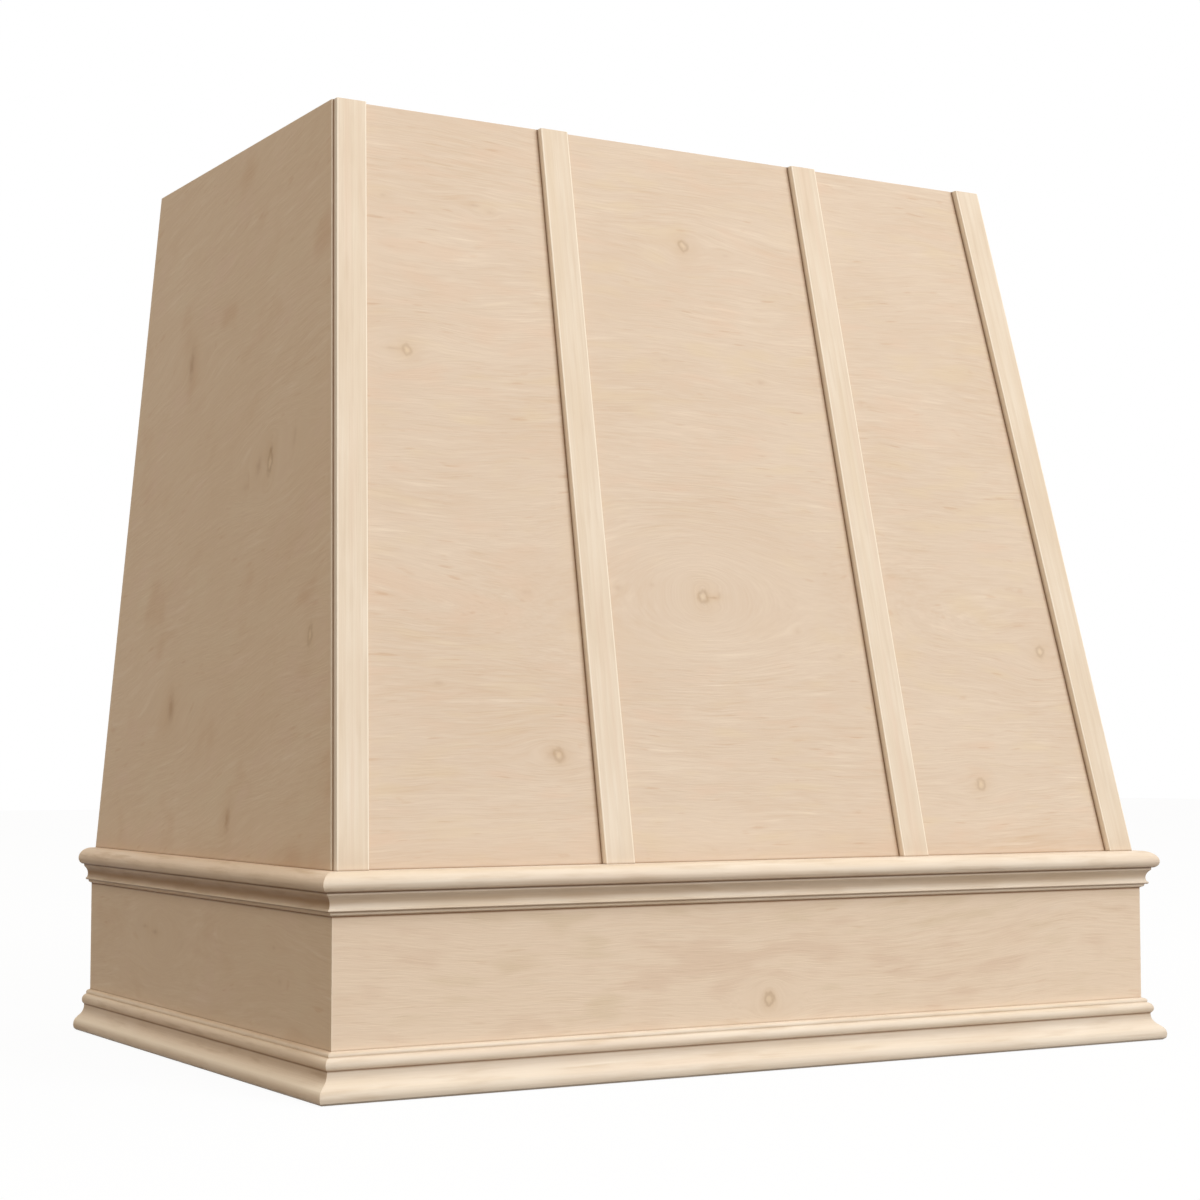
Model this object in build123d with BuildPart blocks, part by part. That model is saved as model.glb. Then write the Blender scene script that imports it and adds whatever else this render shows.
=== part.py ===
from build123d import *
import os
from math import cos, atan, radians, tan

os.makedirs("parts", exist_ok=True)

# A wall-hung wooden cover that hides a kitchen extractor: a square apron with a cap
# and a base moulding, under a canopy that tapers in at the front and at both sides.
# Millimetres. X runs along the wall, -Y points into the room, +Z is up. The origin is
# at the middle of the bounding box's footprint, on the plane of the apron's lower edge.

# ---- overall sizes ----
SKIRT_WIDTH = 762.0  # across the apron boards
SKIRT_DEPTH = 533.4  # from the wall to the apron's front face
HEIGHT = 762.0  # lower edge to canopy top
APRON_HEIGHT = 147.5  # the apron boards, up to the underside of the cap
CANOPY_TOP_WIDTH = 646.0
CANOPY_TOP_DEPTH = 390.0

# ---- boards ----
APRON_THICKNESS = 19.05
PANEL_THICKNESS = 12.7
CAP_THICKNESS = 14.5
CAP_BEARING = 44.45  # how far the cap frame reaches inward from the apron's face
CLEAT_THICKNESS = 19.05
BASE_CLEAT_HEIGHT = 19.05
TOP_CLEAT_HEIGHT = 38.1
INSERT_CLEAT_HEIGHT = 38.1
INSERT_RECESS = 38.1  # from the lower edge up to where an extractor insert seats
RAIL_THICKNESS = 19.05
UPPER_RAIL_HEIGHT = 88.9
CORNER_BLOCK = 25.4

# ---- canopy ----
CANOPY_SIDE_INSET = 3.2  # canopy side face behind the apron's side face, at the ledge
CANOPY_FRONT_INSET = 9.6  # canopy front face behind the apron's front face, at the ledge
STRAP_WIDTH = 25.4
STRAP_THICKNESS = 6.35
STRAP_INSET = 1.6  # outer straps stop this short of the canopy's corners
STRAP_ARRIS = 0.8
INNER_STRAP_BASE = 141.0  # centre line of an inner strap from the middle, at the ledge
INNER_STRAP_TOP = 125.5  # and at the canopy's top

# ---- holes and screws ----
STUD_SPACING = 406.4
WALL_HOLE_RADIUS = 3.25
INSERT_HOLE_RADIUS = 1.5
INSERT_HOLE_DEPTH = 19.0
INSERT_HOLE_SPACING = 304.8  # front to back
SCREW_RADIUS = 1.75
SCREW_HEAD_RADIUS = 3.6
SCREW_LENGTH = 28.5
SCREW_TIP = 4.0
SCREW_HEAD_ANGLE = 82.0
SCREW_CLEARANCE = 0.05
SLOT_WIDTH = 0.9
SLOT_DEPTH = 1.2
SCREW_END_MARGIN = 60.0  # from a board's end to its first screw
FRONT_SCREWS = 4
SIDE_SCREWS = 3

# ---- cap profile: (outward from the apron's face, height above the cap's underside) ----
CAP_NOSE = (12.4, 5.4)
CAP_ROUND_START = 0.4  # where the top begins to fall away
CAP_UNDER = 7.6  # where the rounding meets the flat underside

# ---- bed moulding profile: (outward, down from the cap's underside) ----
BED_TOP = (7.2, 0.0)
BED_FILLET = (7.2, 1.7)
BED_COVE_START = (6.4, 2.6)
BED_COVE_MIDDLE = (3.7, 7.6)
BED_COVE_END = (4.4, 11.9)
BED_BEAD_NOSE = (5.5, 12.9)
BED_BEAD_END = (4.4, 14.1)
BED_STEP_TOP = (3.0, 14.1)
BED_STEP_SIDE = (2.6, 16.0)
BED_FOOT = (0.0, 17.3)

# ---- base moulding profile: (outward, up from the lower edge) ----
BASE_HEEL = (12.6, 0.0)
BASE_FOOT_LOW = (14.6, 1.6)
BASE_FOOT_NOSE = (15.2, 5.4)
BASE_FOOT_TOP = (13.6, 10.0)
BASE_OGEE_MIDDLE = (10.7, 12.6)
BASE_COVE_MIDDLE = (6.9, 16.4)
BASE_NECK = (5.5, 22.6)
BASE_OVOLO_NOSE = (7.4, 25.4)
BASE_OVOLO_TOP = (3.4, 31.6)
BASE_BEAD_NOSE = (3.7, 33.2)
BASE_BEAD_TOP = (2.3, 34.9)
BASE_TOP = (0.0, 35.6)

# ---- profiles, drawn as (outward from the apron's face, height) ----
with BuildSketch() as apron_profile:
    with Locations((-APRON_THICKNESS, 0)):
        Rectangle(APRON_THICKNESS, APRON_HEIGHT, align=Align.MIN)

LEDGE_Z = APRON_HEIGHT + CAP_THICKNESS
nose_x, nose_rise = CAP_NOSE
nose_z = APRON_HEIGHT + nose_rise
with BuildSketch() as cap_profile:
    with BuildLine():
        EllipticalCenterArc((CAP_UNDER, nose_z), nose_x - CAP_UNDER, nose_rise, -90, arc_size=90)
        EllipticalCenterArc(
            (CAP_ROUND_START, nose_z), nose_x - CAP_ROUND_START, CAP_THICKNESS - nose_rise, 0, arc_size=90
        )
        Polyline(
            (CAP_ROUND_START, LEDGE_Z),
            (-CAP_BEARING, LEDGE_Z),
            (-CAP_BEARING, APRON_HEIGHT),
            (CAP_UNDER, APRON_HEIGHT),
        )
    make_face()


def below_cap(point):
    return (point[0], APRON_HEIGHT - point[1])


with BuildSketch() as bed_profile:
    with BuildLine():
        Polyline((0, APRON_HEIGHT), *map(below_cap, (BED_TOP, BED_FILLET, BED_COVE_START)))
        ThreePointArc(*map(below_cap, (BED_COVE_START, BED_COVE_MIDDLE, BED_COVE_END)))
        ThreePointArc(*map(below_cap, (BED_COVE_END, BED_BEAD_NOSE, BED_BEAD_END)))
        Polyline(*map(below_cap, (BED_BEAD_END, BED_STEP_TOP, BED_STEP_SIDE, BED_FOOT)), (0, APRON_HEIGHT))
    make_face()

with BuildSketch() as base_profile:
    with BuildLine():
        Polyline((0, 0), BASE_HEEL, BASE_FOOT_LOW)
        ThreePointArc(BASE_FOOT_LOW, BASE_FOOT_NOSE, BASE_FOOT_TOP)
        Line(BASE_FOOT_TOP, BASE_OGEE_MIDDLE)
        ThreePointArc(BASE_OGEE_MIDDLE, BASE_COVE_MIDDLE, BASE_NECK)
        ThreePointArc(BASE_NECK, BASE_OVOLO_NOSE, BASE_OVOLO_TOP)
        ThreePointArc(BASE_OVOLO_TOP, BASE_BEAD_NOSE, BASE_BEAD_TOP)
        Polyline(BASE_BEAD_TOP, BASE_TOP, (0, 0))
    make_face()

# ---- places worked out from the sizes above ----
FOOT_REACH = base_profile.sketch.bounding_box().max.X
WALL_Y = (SKIRT_DEPTH + FOOT_REACH) / 2
FRONT_Y = WALL_Y - SKIRT_DEPTH
SKIRT_HALF = SKIRT_WIDTH / 2
CANOPY_HEIGHT = HEIGHT - LEDGE_Z
BASE_HALF = SKIRT_HALF - CANOPY_SIDE_INSET
TOP_HALF = CANOPY_TOP_WIDTH / 2
BASE_FRONT_Y = FRONT_Y + CANOPY_FRONT_INSET
TOP_FRONT_Y = WALL_Y - CANOPY_TOP_DEPTH
SIDE_LEAN = atan((BASE_HALF - TOP_HALF) / CANOPY_HEIGHT)
FRONT_LEAN = atan((TOP_FRONT_Y - BASE_FRONT_Y) / CANOPY_HEIGHT)
PANEL_X = PANEL_THICKNESS / cos(SIDE_LEAN)  # a panel's thickness measured level
PANEL_Y = PANEL_THICKNESS / cos(FRONT_LEAN)
STRAP_Y = STRAP_THICKNESS / cos(FRONT_LEAN)
BASE_CLEAT_TOP = LEDGE_Z + BASE_CLEAT_HEIGHT
TOP_CLEAT_BOTTOM = HEIGHT - TOP_CLEAT_HEIGHT
UPPER_RAIL_BOTTOM = HEIGHT - UPPER_RAIL_HEIGHT
INSERT_CLEAT_TOP = INSERT_RECESS + INSERT_CLEAT_HEIGHT
APRON_INNER_HALF = SKIRT_HALF - APRON_THICKNESS
APRON_INNER_Y = FRONT_Y + APRON_THICKNESS
RAIL_FRONT_Y = WALL_Y - RAIL_THICKNESS
SCREW_HOLE_RADIUS = SCREW_RADIUS + SCREW_CLEARANCE
HEAD_TAPER = tan(radians(SCREW_HEAD_ANGLE / 2))
HEAD_DEPTH = (SCREW_HEAD_RADIUS - SCREW_RADIUS) / HEAD_TAPER
MITRE_REACH = 2 * FOOT_REACH  # run past a corner before its mitre is cut
SIDES = {"left": -1, "right": 1}


def canopy_half(z):
    """Half the canopy's outside width at height z."""
    return BASE_HALF + (TOP_HALF - BASE_HALF) * (z - LEDGE_Z) / CANOPY_HEIGHT


def canopy_front(z):
    """The canopy's outside front face at height z."""
    return BASE_FRONT_Y + (TOP_FRONT_Y - BASE_FRONT_Y) * (z - LEDGE_Z) / CANOPY_HEIGHT


def inner_half(z):
    return canopy_half(z) - PANEL_X


def inner_front(z):
    return canopy_front(z) + PANEL_Y


def spaced(low, high, count):
    """Evenly spaced places between two ends, a margin in from each."""
    first = low + SCREW_END_MARGIN
    step = (high - low - 2 * SCREW_END_MARGIN) / (count - 1)
    return [first + step * index for index in range(count)]


def save(part, name):
    part.label = name
    export_step(part, f"parts/{name}.step")


def raked_board(outline, low, high):
    """A flat-faced board whose level section at height z is the quadrilateral outline(z)."""
    foot = [(x, y, low) for x, y in outline(low)]
    head = [(x, y, high) for x, y in outline(high)]
    rings = [foot, head]
    for corner in range(4):
        after = (corner + 1) % 4
        rings.append([foot[corner], foot[after], head[after], head[corner]])
    faces = [Face(Wire.make_polygon(ring)) for ring in rings]
    with BuildPart() as board:
        add(Solid(Shell(faces)))
    return board.part


def rectangle(x_low, x_high, y_low, y_high):
    return [(x_low, y_low), (x_high, y_low), (x_high, y_high), (x_low, y_high)]


def box_board(x_low, x_high, y_low, y_high, z_low, z_high):
    with BuildPart() as board:
        with BuildSketch(Plane.XY.offset(z_low)):
            Polygon(*rectangle(x_low, x_high, y_low, y_high), align=None)
        extrude(amount=z_high - z_low)
    return board.part


def mitre_plane(side):
    """The upright plane through an apron corner that halves the angle between its boards."""
    return Plane(origin=(side * SKIRT_HALF, FRONT_Y, 0), z_dir=(side, 1, 0))


def front_run(profile):
    """A profile carried along the front and mitred at both corners."""
    reach = SKIRT_WIDTH + 2 * MITRE_REACH
    start = Plane(origin=(reach / 2, FRONT_Y, 0), x_dir=(0, -1, 0), z_dir=(-1, 0, 0))
    with BuildPart() as run:
        with BuildSketch(start):
            add(profile)
        extrude(amount=reach)
        split(bisect_by=mitre_plane(-1), keep=Keep.BOTTOM)
        split(bisect_by=mitre_plane(1), keep=Keep.BOTTOM)
    return run.part


def side_run(profile, side):
    """The same profile carried from the wall to the mitre, on the side given as -1 or 1."""
    reach = SKIRT_DEPTH + MITRE_REACH
    start = Plane(origin=(side * SKIRT_HALF, WALL_Y, 0), x_dir=(side, 0, 0), z_dir=(0, -side, 0))
    with BuildPart() as run:
        with BuildSketch(start):
            add(profile)
        extrude(amount=side * reach)
        split(bisect_by=mitre_plane(side), keep=Keep.TOP)
    return run.part


# ---- screws: (x, y) of the upright ones, and places along the apron of the level ones ----
SCREW_Z = LEDGE_Z + BASE_CLEAT_HEIGHT / 2
CLEAT_CENTRE_Y = inner_front(SCREW_Z) + CLEAT_THICKNESS / 2
CLEAT_CENTRE_X = inner_half(SCREW_Z) - CLEAT_THICKNESS / 2
CANOPY_CLEAT_START = inner_front(LEDGE_Z) + CLEAT_THICKNESS
FRONT_CLEAT_XS = spaced(-inner_half(SCREW_Z), inner_half(SCREW_Z), FRONT_SCREWS)
SIDE_CLEAT_YS = spaced(CANOPY_CLEAT_START, WALL_Y, SIDE_SCREWS)
INSERT_Z = INSERT_RECESS + INSERT_CLEAT_HEIGHT / 2
INSERT_FRONT_XS = spaced(-APRON_INNER_HALF, APRON_INNER_HALF, FRONT_SCREWS)
INSERT_CLEAT_START = APRON_INNER_Y + CLEAT_THICKNESS
INSERT_SIDE_YS = spaced(INSERT_CLEAT_START, RAIL_FRONT_Y, SIDE_SCREWS)


def front_cleat_seats():
    """Screw seats on top of the canopy's front base cleat, facing up."""
    return [Location((x, CLEAT_CENTRE_Y, BASE_CLEAT_TOP)) for x in FRONT_CLEAT_XS]


def side_cleat_seats(side):
    return [Location((side * CLEAT_CENTRE_X, y, BASE_CLEAT_TOP)) for y in SIDE_CLEAT_YS]


def insert_front_seats():
    """Screw seats on the back face of the front insert cleat, facing the wall."""
    return [Location((x, INSERT_CLEAT_START, INSERT_Z), (-90, 0, 0)) for x in INSERT_FRONT_XS]


def insert_side_seats(side):
    """Screw seats on the inner face of a side insert cleat, facing the middle."""
    x = side * (APRON_INNER_HALF - CLEAT_THICKNESS)
    return [Location((x, y, INSERT_Z), (0, -side * 90, 0)) for y in INSERT_SIDE_YS]


def screwed(board, seats):
    """A cleat with countersunk clearance holes at its screw seats."""
    with BuildPart() as holed:
        add(board)
        with Locations(*seats):
            CounterSinkHole(SCREW_HOLE_RADIUS, SCREW_HEAD_RADIUS, 2 * CLEAT_THICKNESS, SCREW_HEAD_ANGLE)
    return holed.part


def piloted(board, seats):
    """The board behind a cleat, with the holes that the screws' threads go into."""
    with BuildPart() as holed:
        add(board)
        with Locations(*seats):
            Hole(SCREW_HOLE_RADIUS, SCREW_LENGTH)
    return holed.part


def screw():
    """A countersunk wood screw along Z, its head flush with z = 0 and its slot across X."""
    with BuildPart() as made:
        with BuildSketch(Plane.XZ):
            with BuildLine():
                Polyline(
                    (0, 0),
                    (SCREW_HEAD_RADIUS, 0),
                    (SCREW_RADIUS, -HEAD_DEPTH),
                    (SCREW_RADIUS, SCREW_TIP - SCREW_LENGTH),
                    (0, -SCREW_LENGTH),
                    close=True,
                )
            make_face()
        revolve(axis=Axis.Z)
        with BuildSketch(Plane.XY):
            Rectangle(2 * SCREW_HEAD_RADIUS, SLOT_WIDTH)
        extrude(amount=-SLOT_DEPTH, mode=Mode.SUBTRACT)
    return made.part


def screw_set(seats, name):
    one = screw()
    with BuildPart() as screws:
        with Locations(*seats):
            add(one)
    save(screws.part, name)


# ---- apron: three boards mitred at the front corners ----
save(piloted(front_run(apron_profile.sketch), insert_front_seats()), "apron_front")
for name, side in SIDES.items():
    save(piloted(side_run(apron_profile.sketch, side), insert_side_seats(side)), f"apron_{name}")

# ---- cap: a flat frame with a rounded nose, lying on the apron ----
save(piloted(front_run(cap_profile.sketch), front_cleat_seats()), "cap_moulding_front")
for name, side in SIDES.items():
    save(piloted(side_run(cap_profile.sketch, side), side_cleat_seats(side)), f"cap_moulding_{name}")

# ---- bed moulding under the cap and base moulding round the lower edge ----
for label, profile in {"bed_moulding": bed_profile, "base_moulding": base_profile}.items():
    save(front_run(profile.sketch), f"{label}_front")
    for name, side in SIDES.items():
        save(side_run(profile.sketch, side), f"{label}_{name}")


# ---- canopy panels, mitred along the raked corners ----
def front_panel_outline(z):
    return [
        (-canopy_half(z), canopy_front(z)),
        (canopy_half(z), canopy_front(z)),
        (inner_half(z), inner_front(z)),
        (-inner_half(z), inner_front(z)),
    ]


def side_panel_outline(side):
    def outline(z):
        return [
            (side * canopy_half(z), canopy_front(z)),
            (side * canopy_half(z), WALL_Y),
            (side * inner_half(z), WALL_Y),
            (side * inner_half(z), inner_front(z)),
        ]

    return outline


save(raked_board(front_panel_outline, LEDGE_Z, HEIGHT), "canopy_panel_front")
for name, side in SIDES.items():
    save(raked_board(side_panel_outline(side), LEDGE_Z, HEIGHT), f"canopy_panel_{name}")


# ---- straps on the canopy's front ----
def outer_strap_outline(side):
    def outline(z):
        outer = side * (canopy_half(z) - STRAP_INSET)
        inner = outer - side * STRAP_WIDTH
        return rectangle(inner, outer, canopy_front(z) - STRAP_Y, canopy_front(z))

    return outline


def inner_strap_outline(side):
    def outline(z):
        rise = (z - LEDGE_Z) / CANOPY_HEIGHT
        centre = side * (INNER_STRAP_BASE + (INNER_STRAP_TOP - INNER_STRAP_BASE) * rise)
        half = side * STRAP_WIDTH / 2
        return rectangle(centre - half, centre + half, canopy_front(z) - STRAP_Y, canopy_front(z))

    return outline


def eased(strap):
    """A strap with its two long front edges rounded."""
    with BuildPart() as made:
        add(strap)
        long_edges = made.edges().filter_by(lambda edge: edge.length > CANOPY_HEIGHT / 2)
        fillet(long_edges.sort_by(Axis.Y)[:2], STRAP_ARRIS)
    return made.part


for name, side in SIDES.items():
    outer = raked_board(outer_strap_outline(side), LEDGE_Z, HEIGHT)
    save(eased(outer), f"strap_outer_{name}")
    inner = raked_board(inner_strap_outline(side), LEDGE_Z, HEIGHT)
    save(eased(inner), f"strap_inner_{name}")


# ---- cleats inside the canopy: round its foot, round its top and up its corners ----
def front_cleat_outline(z):
    return rectangle(-inner_half(z), inner_half(z), inner_front(z), inner_front(z) + CLEAT_THICKNESS)


def side_cleat_outline(side, back):
    def outline(z):
        outer = side * inner_half(z)
        inner = outer - side * CLEAT_THICKNESS
        return rectangle(inner, outer, inner_front(z) + CLEAT_THICKNESS, back)

    return outline


def corner_cleat_outline(side):
    def outline(z):
        outer = side * inner_half(z)
        inner = outer - side * CLEAT_THICKNESS
        return rectangle(inner, outer, inner_front(z), inner_front(z) + CLEAT_THICKNESS)

    return outline


def upper_rail_outline(z):
    return rectangle(-inner_half(z), inner_half(z), RAIL_FRONT_Y, WALL_Y)


front_base = raked_board(front_cleat_outline, LEDGE_Z, BASE_CLEAT_TOP)
save(screwed(front_base, front_cleat_seats()), "base_cleat_front")
save(raked_board(front_cleat_outline, TOP_CLEAT_BOTTOM, HEIGHT), "top_cleat_front")
for name, side in SIDES.items():
    side_base = raked_board(side_cleat_outline(side, WALL_Y), LEDGE_Z, BASE_CLEAT_TOP)
    save(screwed(side_base, side_cleat_seats(side)), f"base_cleat_{name}")
    side_top = side_cleat_outline(side, RAIL_FRONT_Y)
    save(raked_board(side_top, TOP_CLEAT_BOTTOM, HEIGHT), f"top_cleat_{name}")
    corner = corner_cleat_outline(side)
    save(raked_board(corner, BASE_CLEAT_TOP, TOP_CLEAT_BOTTOM), f"corner_cleat_{name}")


# ---- rails that hang the cover on the wall, bored for screws into two studs ----
def wall_bored(board, z):
    with BuildPart() as rail:
        add(board)
        with BuildSketch(Plane.XZ.offset(-WALL_Y)):
            with Locations((-STUD_SPACING / 2, z), (STUD_SPACING / 2, z)):
                Circle(WALL_HOLE_RADIUS)
        extrude(amount=RAIL_THICKNESS, mode=Mode.SUBTRACT)
    return rail.part


upper_rail = raked_board(upper_rail_outline, UPPER_RAIL_BOTTOM, HEIGHT)
save(wall_bored(upper_rail, HEIGHT - UPPER_RAIL_HEIGHT / 2), "wall_rail_upper")
lower_rail = box_board(
    -APRON_INNER_HALF, APRON_INNER_HALF, RAIL_FRONT_Y, WALL_Y, INSERT_RECESS, APRON_HEIGHT
)
save(wall_bored(lower_rail, (INSERT_RECESS + APRON_HEIGHT) / 2), "wall_rail_lower")

# ---- cleats inside the apron that an extractor insert screws up to ----
insert_front = box_board(
    -APRON_INNER_HALF, APRON_INNER_HALF, APRON_INNER_Y, INSERT_CLEAT_START, INSERT_RECESS, INSERT_CLEAT_TOP
)
save(screwed(insert_front, insert_front_seats()), "insert_cleat_front")
INSERT_HOLE_X = APRON_INNER_HALF - CLEAT_THICKNESS / 2
INSERT_HOLE_Y = (INSERT_CLEAT_START + RAIL_FRONT_Y) / 2
for name, side in SIDES.items():
    edges_x = sorted((side * APRON_INNER_HALF, side * (APRON_INNER_HALF - CLEAT_THICKNESS)))
    blank = box_board(*edges_x, INSERT_CLEAT_START, RAIL_FRONT_Y, INSERT_RECESS, INSERT_CLEAT_TOP)
    with BuildPart() as cleat:
        add(screwed(blank, insert_side_seats(side)))
        with BuildSketch(Plane.XY.offset(INSERT_RECESS)):
            with Locations((side * INSERT_HOLE_X, INSERT_HOLE_Y)):
                with GridLocations(0, INSERT_HOLE_SPACING, 1, 2):
                    Circle(INSERT_HOLE_RADIUS)
        extrude(amount=INSERT_HOLE_DEPTH, mode=Mode.SUBTRACT)
    save(cleat.part, f"insert_cleat_{name}")

# ---- blocks glued into the apron's front corners, on top of the insert cleats ----
for name, side in SIDES.items():
    edges_x = sorted((side * APRON_INNER_HALF, side * (APRON_INNER_HALF - CORNER_BLOCK)))
    block = box_board(
        *edges_x, APRON_INNER_Y, APRON_INNER_Y + CORNER_BLOCK, INSERT_CLEAT_TOP, APRON_HEIGHT
    )
    save(block, f"apron_corner_block_{name}")

# ---- screws: down through the base cleats, and outward through the insert cleats ----
base_seats = front_cleat_seats() + side_cleat_seats(-1) + side_cleat_seats(1)
screw_set(base_seats, "base_cleat_screws")
insert_seats = insert_front_seats() + insert_side_seats(-1) + insert_side_seats(1)
screw_set(insert_seats, "insert_cleat_screws")
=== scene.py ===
import math

import bpy
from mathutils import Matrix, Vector


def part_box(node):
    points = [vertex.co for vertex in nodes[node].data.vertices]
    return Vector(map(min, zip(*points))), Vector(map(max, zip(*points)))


# A pale, unfinished maple cover over a kitchen extractor. Metres; +X along the wall,
# -Y into the room, +Z up. Every wood surface has its own grain direction, worked out
# from the object's own coordinates.
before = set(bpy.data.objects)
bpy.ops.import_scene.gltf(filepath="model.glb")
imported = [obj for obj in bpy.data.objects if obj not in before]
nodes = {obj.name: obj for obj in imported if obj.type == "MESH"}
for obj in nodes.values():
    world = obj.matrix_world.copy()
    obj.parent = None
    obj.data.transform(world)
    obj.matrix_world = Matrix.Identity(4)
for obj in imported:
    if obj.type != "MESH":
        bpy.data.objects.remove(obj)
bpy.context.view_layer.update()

# ---- sizes that the looks depend on ----
MM = 0.001
PANEL_LOW, PANEL_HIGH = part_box("canopy_panel_front")
APRON_LOW, APRON_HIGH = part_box("apron_front")
WALL_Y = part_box("wall_rail_upper")[1].y
LEDGE_Z = PANEL_LOW.z
CANOPY_HEIGHT = PANEL_HIGH.z - PANEL_LOW.z
CANOPY_HALF = PANEL_HIGH.x
CANOPY_FRONT = PANEL_LOW.y
CANOPY_TOP_HALF = 323.0 * MM
CANOPY_TOP_DEPTH = 390.0 * MM
SIDE_SLOPE = (CANOPY_HALF - CANOPY_TOP_HALF) / CANOPY_HEIGHT  # inward per metre of rise
FRONT_SLOPE = (WALL_Y - CANOPY_TOP_DEPTH - CANOPY_FRONT) / CANOPY_HEIGHT
APRON_HALF = APRON_HIGH.x
APRON_FRONT = APRON_LOW.y
APRON_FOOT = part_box("base_moulding_front")[1].z
APRON_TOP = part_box("bed_moulding_front")[0].z
STRAP_WIDTH = 25.4 * MM
STRAP_INSET = 1.6 * MM
INNER_STRAP_BASE = 141.0 * MM  # centre line from the middle, at the ledge
INNER_STRAP_TOP = 125.5 * MM
INNER_STRAP_SLOPE = (INNER_STRAP_BASE - INNER_STRAP_TOP) / CANOPY_HEIGHT
OUTER_STRAP_BASE = CANOPY_HALF - STRAP_INSET - STRAP_WIDTH / 2
STRAP_DIVIDE = 200.0 * MM  # between the inner straps and the outer ones
PANEL_THICKNESS = 12.7 * MM
APRON_THICKNESS = 19.05 * MM
PLY = 1.41 * MM
ARRIS_RADIUS = 0.35 * MM


# ---- colours ----
def tone(red, green, blue):
    """A colour given in display values 0-255, as the linear RGBA a shader takes."""
    linear = []
    for value in (red, green, blue):
        part = value / 255
        linear.append(part / 12.92 if part <= 0.04045 else ((part + 0.055) / 1.055) ** 2.4)
    return (*linear, 1.0)


WHITE = (1.0, 1.0, 1.0, 1.0)
VENEER = tone(226, 206, 184)
VENEER_LIGHT = tone(246, 230, 209)
VENEER_DARK = tone(211, 179, 143)
# Painted light: the apron's front veneer is paler than the canopy's, making up for the less light
# its upright face takes.
APRON_PAINTED_LIGHTER = tone(244, 223, 199)
# Painted shade: a browner copy of VENEER for the canopy's and apron's side faces, which stand in
# shade.
SHADE_TINTED_VENEER = tone(227, 203, 173)
PINK = tone(229, 202, 177)
GOLD = tone(229, 208, 178)
RING = tone(208, 175, 133)
KNOT = tone(160, 123, 72)
KNOT_HEART = tone(236, 214, 182)
BARK = tone(156, 102, 44)
SPECK = tone(197, 147, 95)
# Painted highlight: the pale line of lit arrises on the canopy's and apron's outer corners and on
# the straps' edges.
ARRIS_HIGHLIGHT_COLOR = tone(255, 243, 224)
PLY_DARK = tone(196, 160, 118)
PLY_LIGHT = tone(232, 209, 176)
# Painted shadow: the dark brown of the shadow lines and of the shaded strap edges.
PAINTED_SHADOW_BROWN = tone(121, 76, 28)
MAPLE = tone(238, 224, 205)
MAPLE_LIGHT = tone(252, 242, 226)
# Painted highlight: the pale colour of the lit bands on the side mouldings.
MAPLE_HIGHLIGHT = tone(255, 241, 219)
MAPLE_DARK = tone(220, 197, 169)
# Painted shade: a browner copy of MAPLE for the side mouldings, which stand in shade.
SHADE_TINTED_MAPLE = tone(234, 213, 188)
STRAP = tone(235, 218, 195)
STAIN = tone(196, 168, 133)
# Painted shade: the brown of the shaded band in the bed moulding's cove.
SHADE = tone(143, 100, 40)
LUMBER = tone(226, 197, 156)
LUMBER_LATE = tone(193, 146, 96)
STEEL_DARK = tone(168, 160, 140)
STEEL_LIGHT = tone(205, 196, 172)
FLOOR_BOUNCE = (0.135, 0.098, 0.062, 1.0)
FLOOR_PALE = (0.95, 0.97, 1.0, 1.0)
WORLD_GLOW = (0.68, 0.61, 0.53, 1.0)
KEY_LIGHT = (0.90, 0.95, 1.0)
TOP_LIGHT = (0.95, 0.97, 1.0)


# ---- node trees ----
# A Mix node's factor, first and second inputs and its output, when it mixes colours.
MIX_INPUTS, MIX_OUTPUT = (0, 6, 7), 2
# Noise comes out near 0.5, so it is stretched this much to fill -1 to 1.
NOISE_SPAN = 4.0


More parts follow.
